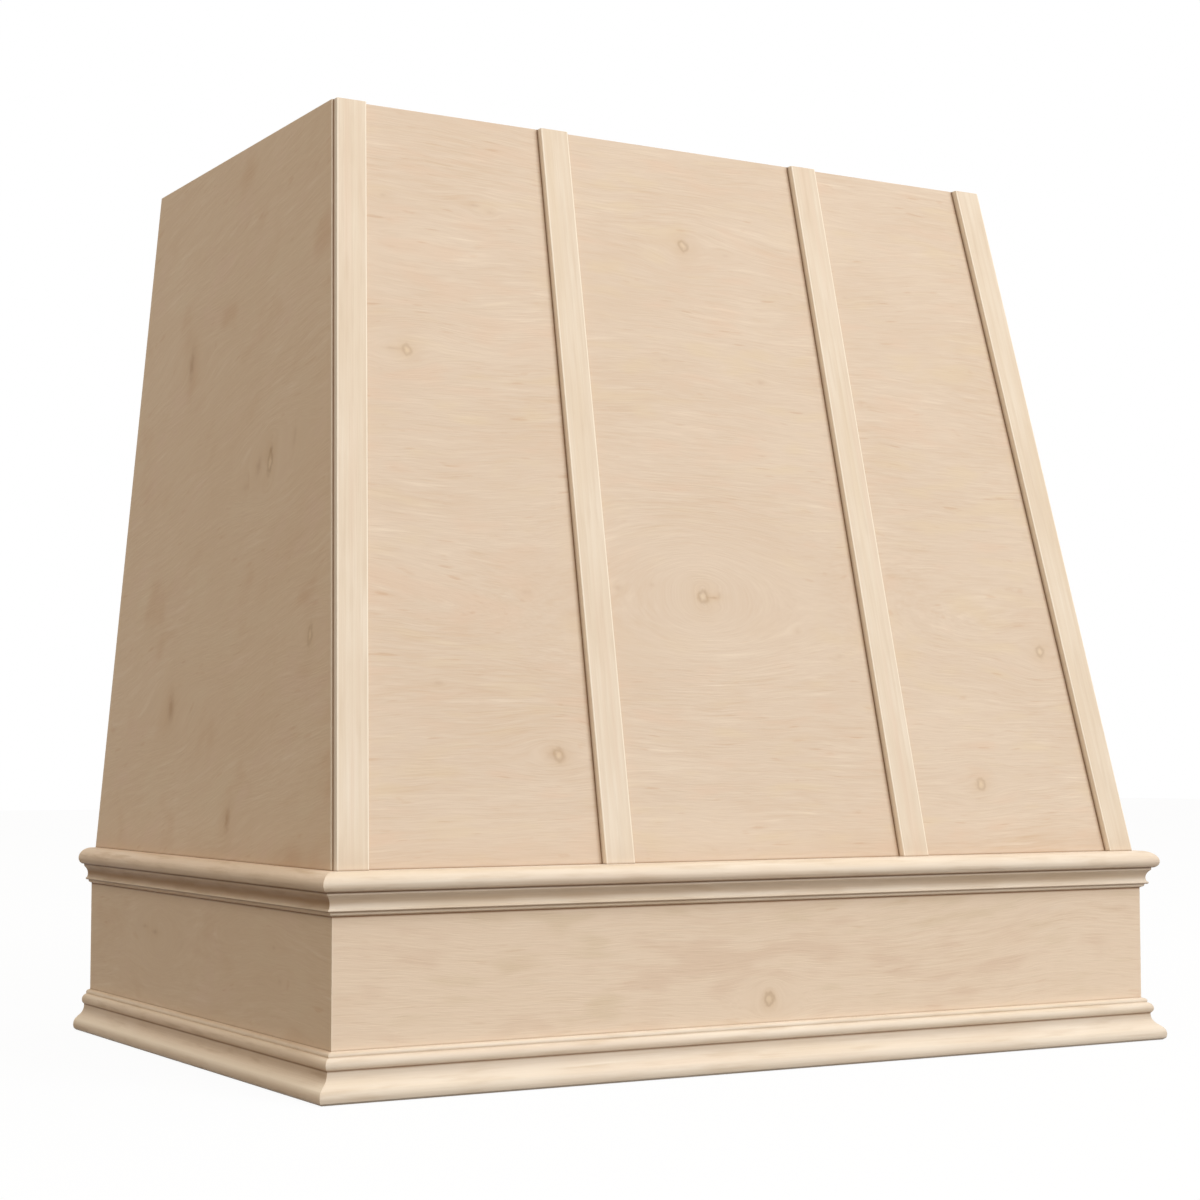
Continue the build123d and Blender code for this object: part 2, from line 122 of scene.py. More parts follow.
class Graph:
    """A node tree, and short calls that add nodes to it."""

    def __init__(self, tree):
        self.tree = tree

    def add(self, kind):
        return self.tree.nodes.new("ShaderNode" + kind)

    def feed(self, socket, value):
        """Link value to socket, or set it there if it is a number, vector or colour."""
        if isinstance(value, bpy.types.NodeSocket):
            self.tree.links.new(value, socket)
        else:
            socket.default_value = value

    def fill(self, node, *values):
        """Feed the node's inputs in order, and return its outputs."""
        for socket, value in zip(node.inputs, values):
            self.feed(socket, value)
        return node.outputs

    def split(self, vector):
        return self.fill(self.add("SeparateXYZ"), vector)

    def join(self, x, y, z):
        return self.fill(self.add("CombineXYZ"), x, y, z)[0]

    def math(self, operation, *values, clamp=False):
        node = self.add("Math")
        node.operation = operation
        node.use_clamp = clamp
        return self.fill(node, *values)[0]

    def plus(self, value, number):
        return self.math("ADD", value, number)

    def times(self, first, second, clamp=False):
        return self.math("MULTIPLY", first, second, clamp=clamp)

    def one_minus(self, value):
        return self.math("SUBTRACT", 1.0, value)

    def above_zero(self, value):
        return self.math("MAXIMUM", value, 0.0)

    def below_zero(self, value):
        """How far value is below zero, or 0."""
        return self.math("MAXIMUM", self.times(value, -1.0), 0.0)

    def vector(self, operation, *values):
        node = self.add("VectorMath")
        node.operation = operation
        return self.fill(node, *values)["Value" if operation == "LENGTH" else "Vector"]

    def length(self, vector):
        return self.vector("LENGTH", vector)

    def total(self, *terms):
        """The sum of terms, each a (factor, value) pair or a plain number."""
        result = 0.0
        for term in terms:
            if isinstance(term, tuple):
                factor, value = term
                result = self.math("MULTIPLY_ADD", value, factor, result)
            else:
                result = self.plus(result, term)
        return result

    def noise(self, place, detail, roughness=0.5):
        """Noise about zero, roughly -1 to 1."""
        node = self.add("TexNoise")
        self.feed(node.inputs["Vector"], place)
        for name, value in (("Scale", 1.0), ("Detail", detail), ("Roughness", roughness)):
            node.inputs[name].default_value = value
        return self.math("MULTIPLY_ADD", node.outputs["Fac"], NOISE_SPAN, -NOISE_SPAN / 2)

    def remap(self, value, start, end, low=0.0, high=1.0):
        """low as far as start, high past end, and a smooth step between them."""
        node = self.add("MapRange")
        node.interpolation_type = "SMOOTHSTEP"
        return self.fill(node, value, start, end, low, high)["Result"]

    def bell(self, value, centre, width):
        """1 where value is centre, falling away over width."""
        offset = self.math("MULTIPLY_ADD", value, 1 / width, -centre / width)
        return self.math("POWER", math.e, self.times(self.times(offset, offset), -1.0))

    def mix(self, share, first, second):
        """The colour first, with this share of second."""
        node = self.add("Mix")
        node.data_type = "RGBA"
        for index, value in zip(MIX_INPUTS, (share, first, second)):
            self.feed(node.inputs[index], value)
        return node.outputs[MIX_OUTPUT]

    def paint(self, color, *coats):
        """color under coats, each one the share of it that shows and its own colour."""
        for share, coat in coats:
            color = self.mix(share, color, coat)
        return color


class Finish(Graph):
    """A material's tree, with the object's coordinates split up."""

    def __init__(self, name):
        self.material = bpy.data.materials.new(name)
        self.material.use_nodes = True
        super().__init__(self.material.node_tree)
        self.shader = self.tree.nodes["Principled BSDF"]
        coordinates = self.add("TexCoord").outputs
        self.place = coordinates["Object"]
        self.normal = coordinates["Normal"]
        self.x, self.y, self.z = self.split(self.place)
        self.reach = self.math("ABSOLUTE", self.x)  # from the object's middle plane

    def done(self, color, roughness, height, depth, gloss, metallic=0.0):
        """The material: height is its relief, depth metres deep."""
        self.shader.inputs["Specular IOR Level"].default_value = gloss
        self.shader.inputs["Metallic"].default_value = metallic
        self.feed(self.shader.inputs["Base Color"], color)
        self.feed(self.shader.inputs["Roughness"], roughness)
        bump = self.add("Bump")
        bump.inputs["Strength"].default_value = 1.0
        bump.inputs["Distance"].default_value = depth
        self.feed(bump.inputs["Height"], height)
        self.feed(self.shader.inputs["Normal"], bump.outputs["Normal"])
        return self.material


def lines(g, value, marks):
    """Soft lines: marks are (place, width, strength) along value."""
    mask = 0.0
    for place, width, strength in marks:
        mask = g.math("MULTIPLY_ADD", g.bell(value, place, width), strength, mask)
    return g.math("MINIMUM", mask, 1.0)


def growth_rings(g, turns, start, peak):
    """A line at each whole turn: it fades in from start, is full at peak and ends sharply."""
    turn = g.math("FRACT", turns)
    return g.times(g.remap(turn, start, peak), g.remap(turn, peak, 1.0, 1.0, 0.0))


# ---- directions and distances in the wood ----
STRAP_APART = 3.0  # keeps the left straps' grain from being the right ones' mirror image


def x_of(g):
    return g.x


def y_of(g):
    return g.y


def z_of(g):
    return g.z


def depth_from_front(g):
    """How far a point lies behind the canopy's leaning front."""
    square = 1 / math.hypot(1.0, FRONT_SLOPE)
    start = (FRONT_SLOPE * LEDGE_Z - CANOPY_FRONT) * square
    return g.total((square, g.y), (-FRONT_SLOPE * square, g.z), start)


def depth_from_side(g):
    """How far a point lies inside the canopy's leaning side."""
    square = 1 / math.hypot(1.0, SIDE_SLOPE)
    start = (CANOPY_HALF + SIDE_SLOPE * LEDGE_Z) * square
    return g.total((-square, g.reach), (-SIDE_SLOPE * square, g.z), start)


def depth_from_apron_front(g):
    return g.plus(g.y, -APRON_FRONT)


def depth_from_apron_side(g):
    return g.math("MULTIPLY_ADD", g.reach, -1.0, APRON_HALF)


def across_strap(g):
    """Distance across a strap, constant along its length."""
    outer = g.math("GREATER_THAN", g.reach, STRAP_DIVIDE)
    slope = g.total((SIDE_SLOPE - INNER_STRAP_SLOPE, outer), INNER_STRAP_SLOPE)
    return g.total((1.0, g.reach), (1.0, g.times(slope, g.z)), (STRAP_APART, g.math("SIGN", g.x)))


def strap_gap(g):
    """Distance from the nearest strap's edge: negative on or under a strap."""
    rise = g.plus(g.z, -LEDGE_Z)
    gaps = []
    for centre, slope in ((OUTER_STRAP_BASE, SIDE_SLOPE), (INNER_STRAP_BASE, INNER_STRAP_SLOPE)):
        offset = g.plus(g.math("MULTIPLY_ADD", rise, slope, g.reach), -centre)
        gaps.append(g.plus(g.math("ABSOLUTE", offset), -STRAP_WIDTH / 2))
    return g.math("MINIMUM", *gaps)


def strap_corner(g):
    """Distance in from a strap's edge."""
    return g.times(strap_gap(g), -1.0)


# ---- painted shadow lines, and bands of painted shade and painted highlight ----
# Each mark is (place, width, strength): a height, or a distance from a strap.
# Painted shadow: a hairline along the ledge, and a wide soft band of painted shade round it.
LEDGE_MARKS = ((LEDGE_Z, 0.9 * MM, 0.50), (LEDGE_Z, 14.0 * MM, 0.16))
# Painted shadow beside each strap: a hairline, and a soft band.
BESIDE_STRAP_MARKS = ((0.2 * MM, 0.7 * MM, 0.70), (0.4 * MM, 1.8 * MM, 0.08))
# Painted shadow at the apron's foot, and painted shade under the bed moulding.
APRON_MARKS = (
    (APRON_FOOT, 0.7 * MM, 0.50),
    (APRON_TOP, 1.0 * MM, 0.85),
    (APRON_TOP, 5.0 * MM, 0.10),
)
# Painted shadow and painted shade in the mouldings' quirks and coves, under the cap's nose and
# along the bottom edge.
MOULDING_MARKS = (
    (151.0 * MM, 3.0 * MM, 0.10),
    (147.5 * MM, 0.9 * MM, 0.80),
    (133.8 * MM, 0.5 * MM, 0.58),
    (130.2 * MM, 0.4 * MM, 0.65),
    (32.2 * MM, 0.7 * MM, 0.16),
    (22.6 * MM, 0.8 * MM, 0.65),
    (19.5 * MM, 4.0 * MM, 0.20),
    (0.2 * MM, 0.9 * MM, 0.25),
)
# Painted shade in the bed moulding's cove, in front and at the sides.
COVE_SHADE = ((141.5 * MM, 4.0 * MM, 0.42),)
SIDE_COVE_SHADE = ((140.4 * MM, 4.8 * MM, 0.80),)
# Painted highlights on the side mouldings: the bed moulding's bead, the base's bead and its ogee
# nose.
SIDE_MOULDING_HIGHLIGHTS = (
    (134.9 * MM, 1.0 * MM, 0.75),
    (32.0 * MM, 2.5 * MM, 0.55),
    (10.0 * MM, 4.0 * MM, 0.90),
)
# How far the normal points along X where a strap's edge starts, and where it is all edge.
EDGE_START, EDGE_FULL = 0.82, 0.97
# Painted shade all along a strap's edge faces.
STRAP_EDGE_SHADE = 0.12
STRAP_FOOT = 0.2 * MM
# How strongly the painted shade darkens the edge towards its foot, and from what height.
STRAP_FOOT_SHADES = ((0.30, 3.4 * MM), (0.25, 1.2 * MM))
SAWN_END, MOULDED_FACE = 0.4 * MM, 0.8 * MM  # from the wall


def front_shadow(g):
    """Painted shadow: the canopy's front is darker in a hairline beside each strap and along the
    ledge.
    """
    beside = lines(g, strap_gap(g), BESIDE_STRAP_MARKS)
    return g.math("MAXIMUM", beside, lines(g, g.z, LEDGE_MARKS))


# Painted shadow lines along the ledge on the canopy's side, on the apron, and in the mouldings.
def side_shadow(g):
    return lines(g, g.z, LEDGE_MARKS)


def apron_shadow(g):
    return lines(g, g.z, APRON_MARKS)


def moulding_shadow(g):
    return lines(g, g.z, MOULDING_MARKS)


def side_moulding_shadow(g):
    """The sawn ends at the wall have no such painted shadow lines."""
    moulded = g.remap(g.y, WALL_Y - SAWN_END, WALL_Y - MOULDED_FACE)
    return g.times(moulding_shadow(g), moulded)


def strap_shadow(g):
    """Painted shade: a strap's edges are darker than its face, most of all where it meets the
    panel.
    """
    sideways = g.math("ABSOLUTE", g.split(g.normal)[0])
    edge = g.remap(sideways, EDGE_START, EDGE_FULL)
    lift = g.times(depth_from_front(g), -1.0)
    shades = [(share, g.remap(lift, top, STRAP_FOOT)) for share, top in STRAP_FOOT_SHADES]
    foot = g.total(*shades, STRAP_EDGE_SHADE)
    return g.math("MAXIMUM", g.times(foot, edge), lines(g, g.z, LEDGE_MARKS))


# ---- bare wood ----
FIBRE_ROUGHNESS, FINE_ROUGHNESS = 0.04, 0.02
FIBRE_RELIEF, FINE_RELIEF, BARK_RELIEF, FLECK_RELIEF = 0.6, 0.3, -0.5, -0.3
BARE_GLOSS = 0.28


def wood_done(g, grain, color, roughness, depth, gloss, dents):
    """The material: fibre and fine grain vary roughness and height, dents only height."""
    rough = g.total((FIBRE_ROUGHNESS, grain["fibre"]), (FINE_ROUGHNESS, grain["fine"]), roughness)
    height = g.total((FIBRE_RELIEF, grain["fibre"]), (FINE_RELIEF, grain["fine"]), dents)
    return g.done(color, rough, height, depth, gloss)


# ---- veneer ----
# Slow noise over a face: cycles per metre along and across it, and a shift of the pattern.
VENEER_FIELDS = {
    "wide": (2.3, 4.6, 0.0),
    "waves": (11.0, 26.0, 3.0),
    "patch": (8.0, 15.0, 4.0),
    "ripple": (200.0, 200.0, 5.0),
}
# Noise that follows the grain: cycles per metre along it and across it, a shift of the
# pattern, octaves and roughness.
VENEER_LAYERS = {
    "fibre": (30.0, 380.0, 0.0, 2.0, 0.6),
    "fine": (70.0, 900.0, 1.0, 1.0, 0.5),
    "streak": (16.0, 230.0, 2.0, 1.0, 0.5),
    "cloud": (7.0, 16.0, 7.0, 2.0, 0.5),
    "hue": (8.0, 20.0, 9.0, 1.0, 0.5),
    "small_hue": (22.0, 60.0, 17.0, 1.0, 0.5),
    "specks": (36.0, 270.0, 11.0, 1.0, 0.5),
    "patches": (15.0, 32.0, 13.0, 2.0, 0.5),
    "curls": (48.0, 120.0, 19.0, 2.0, 0.5),
}
# Where in its noise a mark starts to show, and where it shows in full.
SPECK_START, SPECK_FULL = 0.70, 1.25
PATCH_START, PATCH_FULL = 0.15, 1.2
CURL_START, CURL_FULL = 0.75, 1.3
TINT_START, TINT_FULL = 0.1, 1.1
# How far the slow noise moves the grain, metres.
WIDE_SWAY, WAVE_SWAY = 16.0 * MM, 2.4 * MM
# Ovals round knots and the eye are this wide for their length.
OVAL = 0.55
KNOT_SPREAD = 0.8  # how far the grain parts round a knot, 1 being wholly
KNOT_RIPPLE = 0.22  # how uneven a knot's outline is
# Where each part of a knot is strongest and how broad it is, in half sizes of the knot.
KNOT_PARTS = {"ring": (0.80, 0.34), "heart": (0.0, 0.42), "bark": (0.0, 0.95), "halo": (0.0, 2.8)}
# How far apart the noise is taken: above and below the eye, and on a board's two faces.
EYE_APART, FACES_APART = 0.7, 7.0
# How strongly each layer makes the wood paler; a layer below zero makes it darker.
VENEER_WEIGHTS = {"fibre": 0.24, "fine": 0.09, "bold": 0.36, "cloud": 0.16, "rings": -0.14}
LOUDNESS = (-0.7, 0.8, 0.40, 1.15)  # of the streaks, from the slow noise: from, to, least, most
DARK_STREAKS = 0.65  # how strong they are beside the pale ones
HUE_WEIGHT, SMALL_HUE_WEIGHT = 0.55, 0.75
# How much quieter tints and streaks are at the eye.
TINT_CALM, STREAK_CALM = 0.7, 0.60
VENEER_RING_RATE = 110.0  # per metre
VENEER_RING_SWAY = {"hue": 0.9, "cloud": 0.6}
VENEER_RING_START, VENEER_RING_PEAK = 0.45, 0.93
RING_STREAK = (-0.3, 1.0)  # growth lines show in the pale streaks
# The largest share of each colour.
PINK_SHARE, GOLD_SHARE = 0.5, 0.55
SPECK_SHARE, CURL_SHARE = 0.28, 0.21
HALO_STREAK = (-0.9, 0.7, 0.08, 0.34)  # from, to, least, most
RING_SHARE, BARK_SHARE, HEART_SHARE = 0.34, 0.40, 0.5
BACK_SHARE = 0.30
# Depths and distances between which one look gives way to another.
SKIN_END, PLIES_START = 0.8 * MM, 1.2 * MM
# From the outer arris: where its painted highlight starts, and where it is full.
ARRIS_START, ARRIS_FULL = 1.3 * MM, 0.6 * MM
# Depths under the face over which the painted shadow fades out.
SHADOW_START, SHADOW_FULL = 0.7 * MM, 0.4 * MM
PLY_NOISE_SCALE = (300.0, 300.0, 900.0)
PLY_UNEVENNESS, PLY_BLEND = 0.3, 0.25
VENEER_ROUGHNESS = 0.58
VENEER_RELIEF_DEPTH = 0.07 * MM


def part_round_knots(g, a, b, level, ripple, knots):
    """The grain's level parted round each knot, and a mask for each part of the knots."""
    masks = dict.fromkeys(KNOT_PARTS, 0.0)
    for knot_a, knot_b, half_a, half_b, reach, ring, bark in knots:
        offset = g.vector("SUBTRACT", g.join(a, b, 0.0), (knot_a, knot_b, 0.0))
        near = g.bell(g.length(g.vector("MULTIPLY", offset, (OVAL, 1.0, 0.0))), 0.0, reach)
        rise = g.times(g.plus(b, -knot_b), near)
        level = g.math("MULTIPLY_ADD", rise, -KNOT_SPREAD, level)
        core = g.length(g.vector("MULTIPLY", offset, (1 / half_a, 1 / half_b, 0.0)))
        core = g.math("MULTIPLY_ADD", ripple, KNOT_RIPPLE, core)
        weights = {"ring": ring, "heart": float(ring > 0), "bark": bark, "halo": max(ring, bark)}
        for part, weight in weights.items():
            if weight:
                shape = g.bell(core, *KNOT_PARTS[part])
                masks[part] = g.math("MULTIPLY_ADD", shape, weight, masks[part])
    return level, masks


def ply_edge(g, a, b, d):
    """Plies, dark and light in turn, on a board's sawn edges."""
    plies = g.math("SINE", g.times(d, math.pi / PLY))
    uneven = g.noise(g.vector("MULTIPLY", g.join(a, b, d), PLY_NOISE_SCALE), 1.0)
    step = g.total((1.0, plies), (PLY_UNEVENNESS, uneven))
    return g.mix(g.remap(step, -PLY_BLEND, PLY_BLEND), PLY_DARK, PLY_LIGHT)


def veneer(
    name, *, along, across, inward, thickness, corner, shadow, base, knots, eye, seed,
    strength, mottle, arris_highlight, tilt=0.0, coarse=1.0,
):
    """A rotary-cut maple face: wavy, broken grain that parts round pin knots.

    along and across give a face's two directions, inward is how far a point lies under
    the face of a board of this thickness, corner how far it lies from the outer arris,
    and shadow paints a shadow on the face beside what is fixed to it. Each knot is (along,
    across, half width, half height, reach, ring, bark) in metres, where ring and bark say
    how strongly a pin knot's ring or a bark pocket shows. eye is (along, across, reach) of
    the place where the grain closes in ovals, tilt is how much it rises along the face,
    coarse how broad its streaks are, strength and mottle how strongly they and the brown
    patches show, and the argument after mottle how pale the painted highlight on the outer
    arris is."""
    g = Finish(name)
    a, b, d = along(g), across(g), inward(g)
    inside = g.math("GREATER_THAN", d, thickness / 2)
    outside = g.one_minus(inside)
    skin = g.math("MINIMUM", d, g.math("SUBTRACT", thickness, d))

    def field(along_scale, across_scale, shift):
        where = g.join(g.times(a, along_scale), g.times(b, across_scale), seed + shift)
        return g.noise(where, 1.0)

    slow = {key: field(*scales) for key, scales in VENEER_FIELDS.items()}
    eye_a, eye_b, eye_reach = eye
    eye_level = eye_b + tilt * eye_a
    rise = g.total((1.0, b), (tilt, a), -eye_level)
    run = g.math("MULTIPLY_ADD", a, OVAL, -OVAL * eye_a)
    calm = g.bell(g.length(g.join(rise, run, 0.0)), 0.0, eye_reach)
    steady = g.one_minus(calm)
    sway = (WIDE_SWAY, g.times(slow["wide"], steady)), (WAVE_SWAY, slow["waves"])
    level = g.total((1.0, b), (tilt, a), *sway)
    level, masks = part_round_knots(g, a, b, level, slow["ripple"], knots)
    ring, heart, bark, halo = (g.times(mask, outside) for mask in masks.values())

    # Round the eye the level is a distance from it, and far off the height again; apart
    # keeps the grain above and below it from mirroring.
    rise = g.plus(level, -eye_level)
    near = g.bell(g.length(g.join(rise, run, 0.0)), 0.0, eye_reach)
    level = g.length(g.join(rise, g.times(run, g.math("SQRT", near)), 0.0))
    apart = g.times(rise, g.one_minus(near))

    def layer(along_scale, level_scale, shift, detail, roughness):
        across_scale = level_scale / coarse
        depth = g.total((EYE_APART * across_scale, apart), (FACES_APART, inside), seed + shift)
        where = g.join(g.times(a, along_scale), g.times(level, across_scale), depth)
        return g.noise(where, detail, roughness)

    grain = {key: layer(*numbers) for key, numbers in VENEER_LAYERS.items()}
    specks = g.times(g.remap(grain["specks"], SPECK_START, SPECK_FULL), steady)
    curls = g.times(g.remap(grain["curls"], CURL_START, CURL_FULL), steady)
    patches = g.remap(grain["patches"], PATCH_START, PATCH_FULL)
    tint = g.total((HUE_WEIGHT, grain["hue"]), (SMALL_HUE_WEIGHT, grain["small_hue"]))
    tint = g.times(tint, g.math("MULTIPLY_ADD", calm, -TINT_CALM, 1.0))
    loud = g.math("MULTIPLY_ADD", calm, -STREAK_CALM, 1.0)
    loud = g.times(g.remap(slow["patch"], *LOUDNESS), loud)
    bold = g.times(g.times(grain["streak"], g.math("ABSOLUTE", grain["streak"])), loud)
    bold = g.math("MAXIMUM", bold, g.times(bold, DARK_STREAKS))
    ring_sway = [(weight, grain[key]) for key, weight in VENEER_RING_SWAY.items()]
    turns = g.total((VENEER_RING_RATE, level), *ring_sway)
    rings = growth_rings(g, turns, VENEER_RING_START, VENEER_RING_PEAK)
    shown = g.math("SUBTRACT", g.remap(grain["streak"], *RING_STREAK), calm, clamp=True)
    parts = {
        "fibre": g.times(grain["fibre"], loud),
        "fine": grain["fine"],
        "bold": bold,
        "cloud": grain["cloud"],
        "rings": g.times(rings, shown),
    }
    light = g.total(*((weight, parts[part]) for part, weight in VENEER_WEIGHTS.items()))
    light = g.times(light, strength)
    color = g.paint(
        base,
        (g.above_zero(light), VENEER_LIGHT),
        (g.below_zero(light), VENEER_DARK),
        (g.remap(tint, TINT_START, TINT_FULL, 0.0, PINK_SHARE), PINK),
        (g.remap(tint, -TINT_START, -TINT_FULL, 0.0, GOLD_SHARE), GOLD),
        (g.times(patches, mottle), SPECK),
        (g.times(specks, SPECK_SHARE * strength), SPECK),
        (g.times(curls, CURL_SHARE * strength), SPECK),
        (g.times(halo, g.remap(grain["streak"], *HALO_STREAK), clamp=True), RING),
        (g.times(ring, RING_SHARE, clamp=True), KNOT),
        (g.times(bark, BARK_SHARE, clamp=True), BARK),
        (g.times(heart, HEART_SHARE, clamp=True), KNOT_HEART),
        (g.times(inside, BACK_SHARE), LUMBER),
        (g.remap(skin, SKIN_END, PLIES_START), ply_edge(g, a, b, d)),
        # Painted highlight on the outer arris.
        (g.remap(corner(g), ARRIS_START, ARRIS_FULL, 0.0, arris_highlight), ARRIS_HIGHLIGHT_COLOR),
        # Painted shadow beside what is fixed to the face.
        (g.times(shadow(g), g.remap(d, SHADOW_START, SHADOW_FULL)), PAINTED_SHADOW_BROWN),
    )
    dents = (BARK_RELIEF, bark)
    return wood_done(g, grain, color, VENEER_ROUGHNESS, VENEER_RELIEF_DEPTH, BARE_GLOSS, dents)


# ---- solid wood ----
# Noise along the grain: cycles per metre along it and across it, a shift of the pattern,
# octaves and roughness.
WOOD_LAYERS = {
    "fibre": (9.0, 420.0, 0.0, 2.0, 0.6),
    "fine": (30.0, 1300.0, 0.0, 1.0, 0.5),
    "cloud": (12.0, 45.0, 4.0, 2.0, 0.5),
    "flecks": (70.0, 700.0, 6.0, 1.0, 0.5),
    "hue": (4.0, 70.0, 9.0, 1.0, 0.5),
    "thread": (3.0, 520.0, 12.0, 1.0, 0.5),
    "stains": (20.0, 170.0, 15.0, 3.0, 0.5),
    "wander": (26.0, 60.0, 21.0, 2.0, 0.5),
}
FLECK_START, FLECK_FULL = 0.7, 1.3
THREAD_START, THREAD_FULL = 0.75, 1.3
STAIN_START, STAIN_FULL = -0.1, 1.0
BAND_HUE = 1.1  # where in the hue's noise a pink or gold band shows in full
BEND_SCALE = (1.8, 9.0, 9.0)
BEND = 6.0 * MM
PITH_FIRST, PITH_SECOND, PITH_STEP = 0.13, 0.07, 0.01
RING_START, RING_PEAK, RING_SWAY = 0.3, 0.9, 0.25
MAPLE_RING_RATE, LUMBER_RING_RATE = 160.0, 230.0  # per metre
MAPLE_WEIGHTS = {
    "fibre": 0.08, "bold": 0.12, "fine": 0.08, "cloud": 0.28, "flecks": -0.12, "rings": -0.12,
    "thread": -0.30,
}
LUMBER_WEIGHTS = {"fibre": 0.16, "fine": 0.10, "cloud": 0.14, "flecks": -0.1}
MAPLE_LIFT = 0.04
BAND_GOLD_SHARE, LATE_SHARE = 0.35, 0.5
WANDER = 0.5 * MM  # how far a band of painted shade or painted highlight strays
# From a strap's edge: where its painted arris highlight starts, and where it is full.
STRAP_ARRIS_START, STRAP_ARRIS_FULL = 1.5 * MM, 0.8 * MM
MAPLE_ROUGHNESS, LUMBER_ROUGHNESS = 0.50, 0.60
MAPLE_RELIEF_DEPTH, LUMBER_RELIEF_DEPTH = 0.05 * MM, 0.07 * MM
MAPLE_GLOSS, SHADY_GLOSS = 0.34, 0.10


def straight_grain(g, along, first, second, seed, ring_rate, layers):
    """Straight grain's noise layers, with rings round a far-off pith.

    first and second are the two directions across the grain."""
    a, p, q = along(g), first(g), second(g)

    def layer(along_scale, across_scale, shift, detail, roughness):
        where = g.join(
            g.times(a, along_scale),
            g.times(p, across_scale),
            g.math("MULTIPLY_ADD", q, across_scale, seed + shift),
        )
        return g.noise(where, detail, roughness)

    grain = {key: layer(*WOOD_LAYERS[key]) for key in layers}
    bend = g.noise(g.vector("MULTIPLY_ADD", g.join(a, p, q), BEND_SCALE, (0.0, 0.0, seed)), 1.0)
    pith = g.join(g.plus(p, PITH_FIRST + PITH_STEP * seed), g.plus(q, PITH_SECOND), 0.0)
    radius = g.math("MULTIPLY_ADD", bend, BEND, g.length(pith))
    turns = g.total((ring_rate, radius), (RING_SWAY, bend))
    grain["rings"] = growth_rings(g, turns, RING_START, RING_PEAK)
    grain["flecks"] = g.remap(grain["flecks"], FLECK_START, FLECK_FULL)
    return grain


def weigh(g, grain, weights, lift=0.0):
    """How much paler than its base the wood is: the layers' weighted sum, plus lift."""
    return g.total(*((weight, grain[key]) for key, weight in weights.items()), lift)


def maple(
    name, along, first, second, seed, shadow, base=MAPLE, mottle=0.28, pinkness=0.25,
    lights=(), shades=(), corner=None, gloss=MAPLE_GLOSS,
):
    """Planed or moulded maple. mottle and pinkness say how strongly brown streaks and pink
    bands show, and lights and shades are paler and browner bands along second: painted
    highlights and painted shade."""
    g = Finish(name)
    grain = straight_grain(g, along, first, second, seed, MAPLE_RING_RATE, WOOD_LAYERS)
    grain["bold"] = g.times(grain["fibre"], g.math("ABSOLUTE", grain["fibre"]))
    grain["thread"] = g.remap(grain["thread"], THREAD_START, THREAD_FULL)
    light = weigh(g, grain, MAPLE_WEIGHTS, MAPLE_LIFT)
    stains = g.remap(grain["stains"], STAIN_START, STAIN_FULL)
    uneven = g.math("MULTIPLY_ADD", grain["wander"], WANDER, second(g))
    color = g.paint(
        base,
        (g.above_zero(light), MAPLE_LIGHT),
        (g.below_zero(light), MAPLE_DARK),
        (g.remap(grain["hue"], 0.0, BAND_HUE, 0.0, pinkness), PINK),
        (g.remap(grain["hue"], 0.0, -BAND_HUE, 0.0, BAND_GOLD_SHARE), GOLD),
        (g.times(stains, mottle), STAIN),
        # Painted highlights and painted shade, in bands along second.
        (lines(g, uneven, lights), MAPLE_HIGHLIGHT),
        (lines(g, uneven, shades), SHADE),
    )
    # Painted highlight on a strap's arrises.
    if corner:
        color = g.mix(g.remap(corner(g), STRAP_ARRIS_START, STRAP_ARRIS_FULL), color, ARRIS_HIGHLIGHT_COLOR)
    # Painted shadow lines, and painted shade on a strap's edges.
    color = g.mix(shadow(g), color, PAINTED_SHADOW_BROWN)
    dents = (FLECK_RELIEF, grain["flecks"])
    return wood_done(g, grain, color, MAPLE_ROUGHNESS, MAPLE_RELIEF_DEPTH, gloss, dents)


def lumber(name, along, first, second, seed):
    """Plain lumber, for the pieces inside."""
    g = Finish(name)
    grain = straight_grain(g, along, first, second, seed, LUMBER_RING_RATE, LUMBER_WEIGHTS)
    light = weigh(g, grain, LUMBER_WEIGHTS)
    color = g.paint(
        LUMBER,
        (g.times(grain["rings"], LATE_SHARE), LUMBER_LATE),
        (g.above_zero(light), MAPLE_LIGHT),
        (g.below_zero(light), LUMBER_LATE),
    )
    dents = (FLECK_RELIEF, grain["flecks"])
    return wood_done(g, grain, color, LUMBER_ROUGHNESS, LUMBER_RELIEF_DEPTH, BARE_GLOSS, dents)


# ---- steel ----
SCUFF_SCALE = (900.0, 900.0, 900.0)
STEEL_ROUGHNESS, SCUFF_ROUGHNESS = 0.36, 0.07
SCUFF_DEPTH = 0.01 * MM
STEEL_GLOSS = 0.5


def plated_steel(name):
    g = Finish(name)
    scuff = g.noise(g.vector("MULTIPLY", g.place, SCUFF_SCALE), 3.0)
    color = g.mix(g.remap(scuff, -1.0, 1.0), STEEL_DARK, STEEL_LIGHT)
    roughness = g.total((SCUFF_ROUGHNESS, scuff), STEEL_ROUGHNESS)
    return g.done(color, roughness, scuff, SCUFF_DEPTH, STEEL_GLOSS, metallic=1.0)


